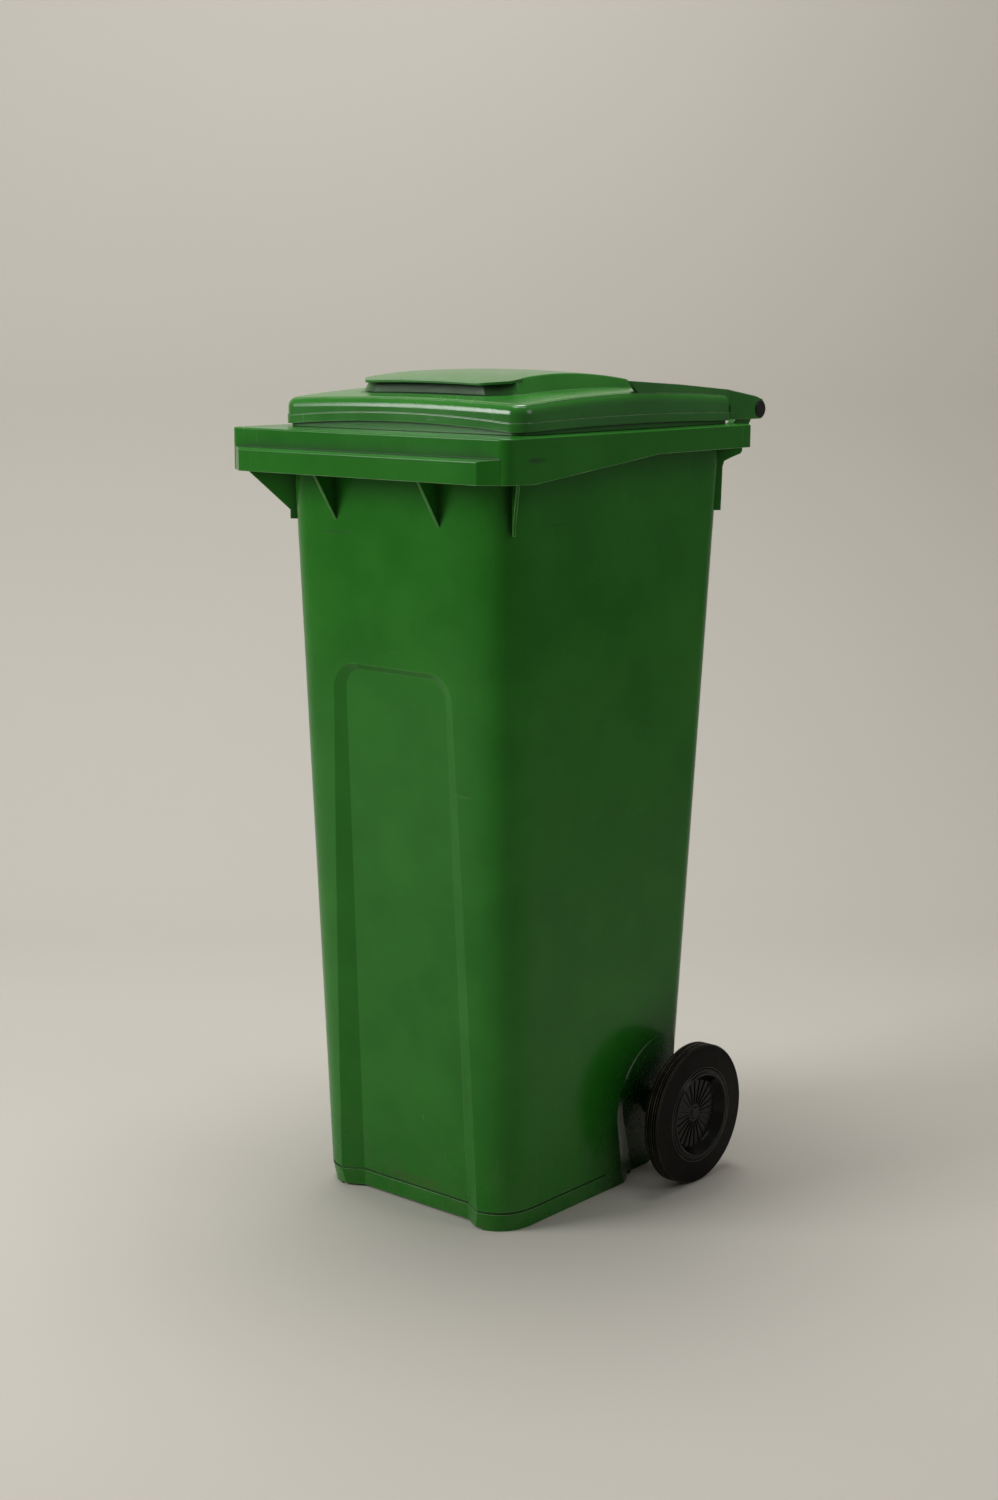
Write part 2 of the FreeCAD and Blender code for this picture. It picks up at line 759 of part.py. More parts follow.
def ear():
    """Hinge ear of the right side, behind the rim and below the pin."""
    y0 = body_top_back - wall / 2
    low = rim_height - ear_low
    top = rim_height - flange / 2
    points = [
        (y0, low),
        (rim_back_y + ear_step, low),
        (back_y, hinge_z - eye_radius - ear_chin),
        (back_y, hinge_z),
        (hinge_y - eye_radius, hinge_z),
        (hinge_y - eye_radius, hinge_z - ear_neck),
        (rim_back_y + ear_root, rim_height),
        (y0, top),
    ]
    plate = side_plate(points, ear_inside, ear_outside)
    return plate.fuse(rod(eye_radius, ear_inside, ear_outside, hinge_y, hinge_z))


def handle():
    end = ear_inside + ear_width / 2
    return rod(handle_radius, -end, end, hinge_y, hinge_z)


def sleeve_end():
    """Outer face of the cheek's collar, clear of the leaning pocket floor."""
    return pocket_floor_at(axle_z + sleeve_radius) + sleeve_stand


def cheek_sleeve():
    """Collar that guides the axle through the cheek."""
    return rod(sleeve_radius, pocket_floor_at(axle_z) - cheek, sleeve_end(), axle_back, axle_z)


def make_body():
    braces = []
    for brace in (front_rib(rib_side), front_gusset(), back_gusset()):
        braces += both_sides(brace)
    core = body_block([(below, wall / 2), (rim_height + past, wall / 2)])
    parts = [rim()]
    parts += [brace.cut(core) for brace in braces]
    parts += both_sides(ear())
    parts += both_sides(cheek_sleeve())
    parts.append(handle())
    solid = body_shell().multiFuse(parts).cut(mouth()).removeSplitter()
    bore = rod(pin_radius + running_clearance, ear_outside - pin_length, far, hinge_y, hinge_z)
    for cut in both_sides(bore):
        solid = solid.cut(cut)
    axle_bore = rod(axle_radius + running_clearance, -far / 2, far / 2, axle_back, axle_z)
    solid = solid.cut(axle_bore)
    solid.fix(seam, seam, seam_slack)
    return solid


# ---- lid ----
def roof_above(front, middle, back, crown, drop):
    """Everything above a crowned roof whose middle line passes through three (y, z) points."""
    a = V(0, front[0], front[1] - drop)
    b = V(0, middle[0], middle[1] - drop)
    c = V(0, back[0], back[1] - drop)
    start = V(0, a.y - roof_tail, a.z)
    end = V(0, c.y + roof_tail, c.z)
    top = rim_height + 3 * lid_stock
    edges = [
        line(start, a),
        arc(a, b, c),
        line(c, end),
        line(end, V(0, end.y, top)),
        line(V(0, end.y, top), V(0, start.y, top)),
        line(V(0, start.y, top), start),
    ]
    face = Part.Face(Part.Wire(edges))
    hub_z = middle[1] - crown
    angle = math.degrees(roof_sweep * lid_half_width / crown)
    face.rotate(V(0, 0, hub_z), Y_AXIS, -angle / 2)
    return face.revolve(V(0, 0, hub_z), Y_AXIS, angle)


def lid_roof(drop):
    front = (lid_front_y, rim_height + lid_front_rise)
    middle = ((lid_front_y + lid_back_y) / 2, rim_height + lid_middle_rise)
    back = (lid_back_y, rim_height + lid_back_rise)
    return roof_above(front, middle, back, lid_crown, drop)


def lid_box(inset, low, drop):
    block = rounded_block(lid_half_width - inset, lid_front_y + inset, lid_back_y - inset,
                          lid_corner_radius - inset, lid_back_radius - inset,
                          low, rim_height + lid_stock)
    return block.cut(lid_roof(drop))


def edge_arch(lift):
    """What lies below the lid's edge when that edge is raised by lift."""
    z = lid_low + lift
    low = rim_height - lid_stock
    side = far / 2
    front_edges = [
        line(V(-side, -far, low), V(-side, -far, z)),
        line(V(-side, -far, z), V(-lid_arch_half, -far, z)),
        arc(V(-lid_arch_half, -far, z), V(0, -far, z + lid_arch), V(lid_arch_half, -far, z)),
        line(V(lid_arch_half, -far, z), V(side, -far, z)),
        line(V(side, -far, z), V(side, -far, low)),
        line(V(side, -far, low), V(-side, -far, low)),
    ]
    front = Part.Face(Part.Wire(front_edges)).extrude(V(0, 2 * far, 0))
    a = V(-side, lid_front_y, z)
    b = V(-side, 0, z + lid_side_arch)
    c = V(-side, lid_back_y, z)
    side_edges = [
        arc(a, b, c),
        line(c, V(-side, lid_back_y, low)),
        line(V(-side, lid_back_y, low), V(-side, lid_front_y, low)),
        line(V(-side, lid_front_y, low), a),
    ]
    return front.fuse(Part.Face(Part.Wire(side_edges)).extrude(V(2 * side, 0, 0)))


def round_top(block, radius):
    """Round the edge between a lid's walls and its roof."""
    edges = [e for e in block.Edges if e.BoundBox.ZMin > rim_height + lid_front_rise / 2]
    return block.makeFillet(radius, edges)


def lid_outside():
    block = round_top(lid_box(band_step, lid_low - past, 0), lid_top_radius)
    band = rounded_block(lid_half_width, lid_front_y, lid_back_y, lid_corner_radius, lid_back_radius,
                         lid_low - past, rim_height + lid_front_rise)
    band = band.common(edge_arch(band_height))
    return block.fuse(band)


def plateau_roof(drop):
    front = (front_y + lip_reach, rim_height + plateau_front_rise)
    middle = (front[0] + plateau_middle, rim_height + plateau_middle_rise)
    back = (back_y - plateau_back_foot, rim_height + plateau_back_rise)
    return roof_above(front, middle, back, plateau_crown, drop)


def plateau_outline(z, inset):
    """Plan of the plateau at height z, with slanting front corners and round back ones."""
    up = (z - plateau_foot_z) / plateau_wall_height
    lean = plateau_side_lean * up
    half = plateau_half_foot - lean - inset
    half_front = plateau_half_front - lean / 2 - inset / 2
    y0 = front_y + plateau_front_foot + plateau_front_lean * up + inset
    y_facet = y0 + plateau_facet - inset / 2
    y1 = back_y - plateau_back_foot - plateau_back_lean * up - inset
    r = plateau_corner - inset
    k = r * (1 - math.sqrt(0.5))
    edges = [
        line(V(-half_front, y0, z), V(half_front, y0, z)),
        line(V(half_front, y0, z), V(half, y_facet, z)),
        line(V(half, y_facet, z), V(half, y1 - r, z)),
        arc(V(half, y1 - r, z), V(half - k, y1 - k, z), V(half - r, y1, z)),
        line(V(half - r, y1, z), V(r - half, y1, z)),
        arc(V(r - half, y1, z), V(k - half, y1 - k, z), V(-half, y1 - r, z)),
        line(V(-half, y1 - r, z), V(-half, y_facet, z)),
        line(V(-half, y_facet, z), V(-half_front, y0, z)),
    ]
    return Part.Wire(edges)


def plateau_block(inset, drop):
    """Raised middle of the lid, with leaning walls."""
    low = rim_height + lid_wall
    high = rim_height + plateau_middle_rise + past
    block = Part.makeLoft([plateau_outline(low, inset), plateau_outline(high, inset)], True, True)
    return block.cut(plateau_roof(drop))


def grip_lip():
    """Thin front overhang of the plateau, to lift the lid by."""
    y0 = front_y + lip_reach
    y_side = front_y + lip_side_end
    y1 = y_side + plateau_facet
    front = lip_half_front
    side = plateau_half_top
    z0 = rim_height
    edges = [
        arc(V(-front, y0 + lip_bow, z0), V(0, y0, z0), V(front, y0 + lip_bow, z0)),
        line(V(front, y0 + lip_bow, z0), V(side, y_side, z0)),
        line(V(side, y_side, z0), V(side, y1, z0)),
        line(V(side, y1, z0), V(-side, y1, z0)),
        line(V(-side, y1, z0), V(-side, y_side, z0)),
        line(V(-side, y_side, z0), V(-front, y0 + lip_bow, z0)),
    ]
    column = Part.Face(Part.Wire(edges)).extrude(V(0, 0, lid_stock))
    upright = [e for e in column.Edges if e.BoundBox.ZLength > lid_stock - hair]
    corners = [e for e in upright if e.BoundBox.YMax < y1 - hair]
    column = column.makeFillet(plateau_corner, corners)
    return column.common(plateau_roof(lip_thickness)).cut(plateau_roof(0))


def lid_seat():
    """Rib inside the lid's edge that rests on the rim."""
    outer = lid_seat_inset
    inner = lid_seat_inset + lid_seat_width
    low = rim_height + seat_gap
    rib_ring = lid_box(outer, low, lid_wall / 2)
    return rib_ring.cut(lid_box(inner, low - past, -past))


def arm_plan():
    """Plan of the right arm: a thin web whose outer face steps out to a thicker eye."""
    z = rim_height - lid_stock
    step_start = lid_back_y - lid_wall
    step_end = hinge_y - eye_radius
    points = [
        V(arm_inside, front_y, z),
        V(arm_web_outside, front_y, z),
        V(arm_web_outside, step_start, z),
        V(arm_eye_outside, step_end, z),
        V(arm_eye_outside, back_y, z),
        V(arm_inside, back_y, z),
    ]
    return prism(points, V(0, 0, 2 * lid_stock))


def lid_arm():
    """Right hinge arm: a rib along the roof that runs back to the pin."""
    skirt_y = lid_back_y - lid_wall / 2
    front = back_y - arm_run
    under = rim_height + lid_middle_rise - arm_sink - lid_wall / 2
    points = [
        (front, rim_height + arm_front_rise),
        ((front + lid_back_y) / 2, rim_height + arm_middle_rise),
        (lid_back_y - arm_back_run, rim_height + arm_back_rise),
        (hinge_y - arm_shoulder_run, hinge_z + arm_shoulder_rise),
        (hinge_y + arm_heel_run, hinge_z + arm_heel_rise),
        (hinge_y + arm_end_run, hinge_z + arm_end_rise),
        (hinge_y, hinge_z),
        (hinge_y, hinge_z - eye_radius),
        (lid_back_y, lid_low + arm_lift),
        (skirt_y, lid_low + arm_lift),
        (skirt_y, rim_height + lid_back_rise - arm_root),
        (lid_back_y - arm_root_run, under - arm_bend),
        (back_y - arm_foot_run, under),
    ]
    web = side_plate(points, arm_inside - past, arm_eye_outside + past)
    eye = rod(eye_radius, arm_inside, arm_eye_outside, hinge_y, hinge_z)
    return web.common(arm_plan()).fuse(eye)


def make_lid():
    plateau = plateau_block(0, 0)
    top_edges = [e for e in plateau.Edges if e.BoundBox.ZMin > plateau_foot_z + plateau_sink]
    plateau = plateau.makeFillet(plateau_edge_radius, top_edges)
    solid = lid_outside().fuse(plateau)
    inset = lid_wall + band_step
    hollow = round_top(lid_box(inset, lid_low - 2 * past, lid_wall), lid_top_radius - lid_wall)
    hollow = hollow.fuse(plateau_block(lid_wall, lid_wall))
    solid = solid.cut(hollow).cut(edge_arch(0))
    seat = lid_seat().common(hollow.fuse(lid_box(inset / 2, rim_height, lid_wall / 2)))
    solid = solid.multiFuse([seat, grip_lip()] + both_sides(lid_arm())).removeSplitter()
    bore = rod(pin_radius + running_clearance, -far / 2, far / 2, hinge_y, hinge_z)
    return solid.cut(bore)


# ---- hinge pins ----
def make_hinge_pin():
    """Right mushroom-headed pin, split at its tip."""
    face = arm_eye_outside + seat_gap
    tip = ear_outside - pin_length + pin_end_gap
    shank = rod(pin_radius, tip, face + pin_head / 2, hinge_y, hinge_z)
    shank = shank.makeChamfer(pin_chamfer, [e for e in shank.Edges if e.BoundBox.XMax < tip + hair])
    head = rod(pin_head_radius, face, face + pin_head, hinge_y, hinge_z)
    crown = [e for e in head.Edges if e.BoundBox.XMin > face + pin_head - hair]
    head = head.makeFillet(pin_head_round, crown)
    half = pin_slot / 2
    split = box(tip - past, tip + pin_slot_length, hinge_y - half, hinge_y + half,
                hinge_z - past, hinge_z + past)
    return shank.fuse(head).removeSplitter().cut(split)


# ---- axle, spacers ----
def make_axle():
    solid = rod(axle_radius, -axle_half_length, axle_half_length, axle_back, axle_z)
    ends = [e for e in solid.Edges if e.BoundBox.XLength < hair]
    solid = solid.makeChamfer(axle_chamfer, ends)
    half = lock_radius + seat_gap
    middle = lock_from_middle
    ring = rod(axle_radius + past, middle - half, middle + half, axle_back, axle_z)
    ring = ring.cut(rod(axle_radius - groove_depth, 0, far / 2, axle_back, axle_z))
    for groove in both_sides(ring):
        solid = solid.cut(groove)
    return solid


def make_spacer():
    inner = axle_radius + running_clearance
    x0 = sleeve_end() + seat_gap
    x1 = hub_inside - seat_gap
    tube = rod(inner + spacer_wall, x0, x1, axle_back, axle_z)
    return tube.cut(rod(inner, 0, far / 2, axle_back, axle_z))


# ---- wheels ----
def make_tyre():
    r = wheel_radius
    s = tread_radius
    x0 = tyre_inside
    x1 = tyre_outside
    profile = [
        (x0 + tyre_bead, tyre_seat_radius),
        (x0, tyre_seat_radius + tyre_bead),
        (x0, r - s),
        (x0 + s, r),
        (x1 - s / 2, r),
        (x1, r - s / 2),
        (x1 + tyre_bulge, hub_rim_radius + tyre_bead),
        (x1 + tyre_lip, hub_rim_radius + seat_gap),
        (x1 + tyre_lip, tyre_seat_radius),
    ]
    tyre = revolve_about_axle(profile)
    pitch = tyre_width / tread_ribs
    for n in range(1, tread_ribs):
        middle = x0 + n * pitch
        ring = rod(r + past, middle - groove_width / 2, middle + groove_width / 2, axle_back, axle_z)
        ring = ring.cut(rod(r - tread_groove_depth, 0, far / 2, axle_back, axle_z))
        tyre = tyre.cut(ring)
    return tyre


def hub_profile():
    """Right hub's section, as (x, radius) points: bore, nose, dish, rings, flange, web and boss."""
    seat = tyre_seat_radius - running_clearance
    out = hub_outside
    flange_x = out - hub_flange_drop
    lip_x = tyre_outside + tyre_lip + seat_gap
    floor_x = out - hub_dish_depth
    nose_x = floor_x + hub_nose
    web_x = floor_x - hub_web
    bore = axle_radius + running_clearance
    bore_end = axle_half_length + hub_cap
    return [
        (hub_inside, bore),
        (bore_end, bore),
        (bore_end, 0),
        (nose_x, 0),
        (nose_x, hub_nose_radius - hub_ease),
        (floor_x, hub_nose_radius),
        (floor_x, hub_dish_radius - hub_ease),
        (floor_x + hub_ease, hub_dish_radius),
        (out - 2 * hub_ease, hub_dish_radius + hub_lip - 2 * hub_ease),
        (out - hub_ease / 2, hub_dish_radius + hub_lip - hub_ease),
        (out, hub_dish_radius + hub_lip),
        (out, hub_step_radius - hub_ease),
        (flange_x, hub_step_radius),
        (flange_x, hub_rim_radius - hub_flange_round),
        (flange_x - hub_flange_round, hub_rim_radius),
        (lip_x, hub_rim_radius),
        (lip_x, seat),
        (tyre_inside, seat),
        (tyre_inside, seat - hub_rim_wall),
        (web_x, hub_dish_radius + hub_rim_wall),
        (web_x, hub_boss_radius + hub_fillet),
        (web_x - hub_fillet, hub_boss_radius),
        (hub_inside, hub_boss_radius),
    ]


def hub_dish_rib(n):
    """Fine radial rib on the dish floor."""
    floor_x = hub_outside - hub_dish_depth
    inner = hub_nose_radius + hub_rib_start
    outer = hub_dish_radius - hub_root
    half = hub_rib_width / 2
    strip = box(floor_x - hub_root, floor_x + hub_rib_height, axle_back - half, axle_back + half,
                axle_z + inner, axle_z + outer)
    strip.rotate(V(0, axle_back, axle_z), X_AXIS, 360.0 * n / hub_ribs)
    return strip


def hub_back_rib(n):
    """Stiffening rib behind the dish, from boss to rim."""
    floor_x = hub_outside - hub_dish_depth
    half = hub_back_rib_width / 2
    low = axle_z + hub_boss_radius - hub_root
    high = axle_z + tyre_seat_radius - hub_rim_wall / 2
    plate = box(tyre_inside + hub_back_rib_inset, floor_x - hub_root, axle_back - half, axle_back + half,
                low, high)
    plate.rotate(V(0, axle_back, axle_z), X_AXIS, 360.0 * (n + 0.5) / hub_back_ribs)
    return plate


def make_hub():
    hub = revolve_about_axle(hub_profile())
    parts = [hub_dish_rib(n) for n in range(hub_ribs)]
    parts += [hub_back_rib(n) for n in range(hub_back_ribs)]
    foot = V(lock_from_middle, axle_back, axle_z)
    boss = Part.makeCylinder(lock_boss_radius, lock_boss_reach, foot, Z_AXIS)
    boss = boss.cut(rod((axle_radius + hub_boss_radius) / 2, 0, far / 2, axle_back, axle_z))
    parts.append(boss)
    hub = hub.multiFuse(parts).removeSplitter()
    depth = lock_boss_reach - lock_roof
    return hub.cut(Part.makeCylinder(lock_radius, depth, foot, Z_AXIS))


def lock_foot():
    """Height where the plunger's foot sits in the axle's groove."""
    return axle_z + axle_radius - groove_depth + seat_gap


def make_lock_plunger():
    foot = lock_foot()
    stem = Part.makeCylinder(lock_radius - running_clearance, lock_length,
                             V(lock_from_middle, axle_back, foot), Z_AXIS)
    low_edges = [e for e in stem.Edges if e.BoundBox.ZMax < foot + hair]
    return stem.makeChamfer(lock_chamfer, low_edges)


def make_lock_spring():
    """Compression spring between the plunger and the well's end."""
    z0 = lock_foot() + lock_length + spring_wire / 2 + running_clearance
    z1 = axle_z + lock_boss_reach - lock_roof - spring_wire / 2 - running_clearance
    coil_radius = lock_radius - spring_wire / 2 - spring_side_gap
    pitch = (z1 - z0) / spring_turns
    helix = Part.makeHelix(pitch, z1 - z0, coil_radius)
    helix.translate(V(lock_from_middle, axle_back, z0))
    start = V(lock_from_middle + coil_radius, axle_back, z0)
    ring = Part.Wire(Part.makeCircle(spring_wire / 2, start, Y_AXIS))
    return Part.Wire(helix).makePipeShell([ring], True, True)


# ---- write the pieces ----
def save(shape, node):
    solids = shape.Solids
    shape = solids[0] if len(solids) == 1 else Part.makeCompound(solids)
    shape.exportStep("parts/" + node + ".step")
    points = shape.tessellate(1.0)[0]
    spans = []
    for axis in range(3):
        values = [p[axis] for p in points]
        spans.append("%.1f..%.1f" % (min(values), max(values)))
    state = "valid" if shape.isValid() else "NOT VALID"
    print(node, len(solids), "solid(s)", state, "spans", *spans, "volume %.0f" % shape.Volume)


def save_pair(shape, name):
    """A piece of the right side and its twin on the left."""
    save(shape, name + "_right")
    save(mirrored(shape), name + "_left")


os.makedirs("parts", exist_ok=True)
save(make_body(), "bin_body")
save(make_lid(), "lid")
save_pair(make_hinge_pin(), "hinge_pin")
save(make_axle(), "axle")
save_pair(make_spacer(), "axle_spacer")
save_pair(make_hub(), "wheel_hub")
save_pair(make_tyre(), "tyre")
save_pair(make_lock_plunger(), "wheel_lock_plunger")
save_pair(make_lock_spring(), "wheel_lock_spring")
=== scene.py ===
import math

import bpy
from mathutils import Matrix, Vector

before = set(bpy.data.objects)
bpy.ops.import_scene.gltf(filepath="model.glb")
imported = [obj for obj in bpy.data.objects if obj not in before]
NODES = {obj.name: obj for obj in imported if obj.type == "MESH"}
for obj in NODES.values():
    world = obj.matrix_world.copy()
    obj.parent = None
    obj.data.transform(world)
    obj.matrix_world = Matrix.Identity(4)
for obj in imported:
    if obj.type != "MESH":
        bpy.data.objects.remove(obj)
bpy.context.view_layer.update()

# Lengths are in metres and angles in degrees. Colours are linear red, green, blue and alpha.
RIM_TOP = 1.044                # top face of the rim
RIM_RUB_START = 0.075          # below the rim's top, where the rim's rubbing starts
RIM_RUB_FULL = 0.05            # below the rim's top, where it is at its thickest

CAMERA_PLACE = (2.0207, -2.3578, 1.1903)
CAMERA_LENS = 55.28            # millimetres
CAMERA_SENSOR = 36.0           # millimetres
CAMERA_TILT = 79.27
CAMERA_TURN = 40.73

FLOOR_SIZE = 12.0
FLOOR_BEHIND = 2.2             # from the middle of the bin to the foot of the backdrop
BACKDROP_HEIGHT = 5.0
SWEEP_RADIUS = 1.0             # of the curve from the floor to the backdrop
SWEEP_SEGMENTS = 24
SWEEP_MARGIN = 0.01            # an edge this near the backdrop's foot counts as lying on it
FLOOR_SHADING = 0.98           # the darker of the floor's two tones, as a share of its colour

BODY_DEEP = (0.012, 0.118, 0.0075, 1.0)
BODY_LIGHT = (0.019, 0.150, 0.012, 1.0)
LID_DEEP = (0.014, 0.130, 0.009, 1.0)
LID_LIGHT = (0.022, 0.165, 0.014, 1.0)
# rubbed green: scuffs, and on open edges partly wear and partly a painted highlight
RUBBED_AND_HIGHLIGHT_GREEN = (0.27, 0.44, 0.22, 1.0)
# painted shade: the near-black green laid into sheltered creases, corners and recesses
PAINTED_SHADE_GREEN = (0.003, 0.014, 0.002, 1.0)
WORN_BLACK = (0.06, 0.06, 0.055, 1.0)
BLACK_BLUE_CAST = 1.05         # blue of black plastic, as a share of its red and green
RUBBER_DEEP = (0.0025, 0.0025, 0.0022, 1.0)
RUBBER_LIGHT = (0.0055, 0.005, 0.004, 1.0)
# rubbed rubber: dust on the tread rib edges, partly a painted highlight
RUBBED_AND_HIGHLIGHT_RUBBER = (0.34, 0.30, 0.23, 1.0)
DUST_ON_GREEN = (0.15, 0.13, 0.09, 1.0)
DUST_ON_BLACK = (0.13, 0.11, 0.08, 1.0)
DUST_ON_RUBBER = (0.13, 0.105, 0.075, 1.0)
STEEL_DARK = (0.42, 0.43, 0.44, 1.0)
STEEL_LIGHT = (0.60, 0.61, 0.62, 1.0)
STEEL_STAIN = (0.20, 0.12, 0.07, 1.0)
# painted shade: near-black green laid round each wheel pocket
POCKET_PAINTED_SHADE = (0.001, 0.012, 0.003, 1.0)
FLOOR_COLOUR = (0.495, 0.470, 0.420, 1.0)
STUDIO_LIGHT = (0.82, 0.81, 0.79, 1.0)
STUDIO_STRENGTH = 0.26
STUDIO_SEEN = (0.50, 0.475, 0.425, 1.0)

EDGE_SAMPLES = 8
EDGE_ALIKE = 0.985             # how alike the true and softened normals are where an edge's wear and painted highlight start
EDGE_APART = 0.86              # and where they are full
SHELTER_SAMPLES = 6
SHELTER_REACH = 0.03           # how far away a wall still shelters a spot that gets painted shade
CLOUD_SPAN = (0.3, 0.7)        # the part of the skin's cloud that carries tone and gloss

BODY_EDGE = 0.0017             # radius that the edge wear and painted highlight soften on each finish
BLACK_EDGE = 0.0007
TYRE_EDGE = 0.0016
BODY_DUST_TOP = 0.14           # height at which road dust ends on each finish
BLACK_DUST_TOP = 0.4
TYRE_DUST_TOP = 0.5


# ---------------------------------------------------------------- node tools
def group_socket(group, kind, name, way, default=None):
    """Give a node group a named input or output."""
    socket = group.interface.new_socket(name=name, in_out=way, socket_type=kind)
    if default is not None:
        socket.default_value = default


class Graph:
    """Short hand for building one node tree."""

    def __init__(self, tree):
        self.tree = tree

    def node(self, kind, **settings):
        made = self.tree.nodes.new(kind)
        for name, value in settings.items():
            setattr(made, name, value)
        return made

    def join(self, source, target):
        self.tree.links.new(source, target)

    def feed(self, socket, value):
        """Link the value to the socket if it is another socket, or else set it there."""
        if isinstance(value, bpy.types.NodeSocket):
            self.join(value, socket)
        else:
            socket.default_value = value

    def math(self, operation, first, second):
        made = self.node("ShaderNodeMath", operation=operation)
        self.feed(made.inputs[0], first)
        self.feed(made.inputs[1], second)
        return made.outputs[0]

    def noise(self, vector, scale, detail=2.0, roughness=0.5):
        made = self.node("ShaderNodeTexNoise")
        self.feed(made.inputs["Vector"], vector)
        made.inputs["Scale"].default_value = scale
        made.inputs["Detail"].default_value = detail
        made.inputs["Roughness"].default_value = roughness
        return made.outputs["Fac"]

    def stretched(self, vector, scale):
        """The place scaled along X, Y and Z, which draws a pattern out along the smallest of them."""
        made = self.node("ShaderNodeMapping")
        self.feed(made.inputs["Vector"], vector)
        made.inputs["Scale"].default_value = scale
        return made.outputs["Vector"]

    def remap(self, value, low, high, to_low=0.0, to_high=1.0):
        """The value's span from low to high, spread over another span and clamped to it."""
        made = self.node("ShaderNodeMapRange", clamp=True)
        self.feed(made.inputs["Value"], value)
        made.inputs["From Min"].default_value = low
        made.inputs["From Max"].default_value = high
        made.inputs["To Min"].default_value = to_low
        made.inputs["To Max"].default_value = to_high
        return made.outputs["Result"]

    def mix(self, factor, first, second):
        made = self.node("ShaderNodeMix", data_type="RGBA")
        self.feed(made.inputs["Factor"], factor)
        self.feed(made.inputs["A"], first)
        self.feed(made.inputs["B"], second)
        return made.outputs["Result"]

    def coat(self, colour, tone, mask, strength):
        """The colour with a tone laid over it by a mask, at this strength where the mask is full."""
        return self.mix(self.math("MULTIPLY", mask, strength), colour, tone)

    def raised(self, value, mask, amount):
        """The value raised by a mask, by this amount where the mask is full."""
        return self.math("ADD", value, self.math("MULTIPLY", mask, amount))


def new_group(name):
    group = bpy.data.node_groups.new(name, "ShaderNodeTree")
    graph = Graph(group)
    return group, graph, graph.node("NodeGroupInput"), graph.node("NodeGroupOutput")


def place_group(graph, group, **values):
    """Put a node group into a graph, with its inputs given by name."""
    made = graph.node("ShaderNodeGroup")
    made.node_tree = group
    for name, value in values.items():
        graph.feed(made.inputs[name], value)
    return made


def height_of(graph, place):
    """The Z part of a place."""
    split = graph.node("ShaderNodeSeparateXYZ")
    graph.join(place, split.inputs[0])
    return split.outputs["Z"]


# ---------------------------------------------------------------- shared effects
def make_edge_wear_and_painted_light():
    """Pale line along open edges, partly rubbed and partly painted highlight, painted shade where the form
    shelters itself, and a softened normal.
    """
    group, graph, ins, outs = new_group("edge wear and painted light")
    group_socket(group, "NodeSocketVector", "Vector", "INPUT")
    group_socket(group, "NodeSocketFloat", "Radius", "INPUT", 0.002)
    group_socket(group, "NodeSocketFloat", "Mask", "OUTPUT")
    group_socket(group, "NodeSocketFloat", "Painted shade", "OUTPUT")
    group_socket(group, "NodeSocketVector", "Normal", "OUTPUT")
    bevel = graph.node("ShaderNodeBevel", samples=EDGE_SAMPLES)
    graph.join(ins.outputs["Radius"], bevel.inputs["Radius"])
    geometry = graph.node("ShaderNodeNewGeometry")
    dot = graph.node("ShaderNodeVectorMath", operation="DOT_PRODUCT")
    graph.join(bevel.outputs["Normal"], dot.inputs[0])
    graph.join(geometry.outputs["Normal"], dot.inputs[1])
    bend = graph.remap(dot.outputs["Value"], EDGE_ALIKE, EDGE_APART)
    walls = graph.node("ShaderNodeAmbientOcclusion", samples=SHELTER_SAMPLES, only_local=True)
    walls.inputs["Distance"].default_value = SHELTER_REACH
    openness = walls.outputs["AO"]
    # Painted shade: concave creases and spots walled in by the piece itself are darkened in the material
    crease = graph.math("MULTIPLY", bend, graph.remap(openness, 0.97, 0.82, to_high=0.8))
    bend = graph.math("MULTIPLY", bend, graph.remap(openness, 0.66, 0.9))
    deep = graph.math("MAXIMUM", crease, graph.remap(openness, 0.76, 0.42))
    graph.join(deep, outs.inputs["Painted shade"])
    patches = graph.noise(ins.outputs["Vector"], scale=35.0, detail=3.0)
    patches = graph.remap(patches, 0.3, 0.65, to_low=0.3)
    graph.join(graph.math("MULTIPLY", bend, patches), outs.inputs["Mask"])
    graph.join(bevel.outputs["Normal"], outs.inputs["Normal"])
    return group


def make_moulded_skin():
    """Uneven skin of moulded polyethylene: a height that runs upright, and a cloud of tone."""
    group, graph, ins, outs = new_group("moulded skin")
    group_socket(group, "NodeSocketVector", "Vector", "INPUT")
    group_socket(group, "NodeSocketFloat", "Height", "OUTPUT")
    group_socket(group, "NodeSocketFloat", "Cloud", "OUTPUT")
    place = ins.outputs["Vector"]
    flow = graph.noise(graph.stretched(place, (1.0, 1.0, 0.10)), scale=22.0, detail=1.0, roughness=0.4)
    sag = graph.noise(graph.stretched(place, (1.0, 1.0, 0.35)), scale=4.0, detail=0.0)
    fine = graph.noise(place, scale=1100.0)
    height = graph.math("ADD", graph.math("MULTIPLY", flow, 0.22), sag)
    height = graph.raised(height, fine, amount=0.02)
    graph.join(height, outs.inputs["Height"])
    graph.join(graph.noise(place, scale=9.0, detail=4.0, roughness=0.55), outs.inputs["Cloud"])
    return group


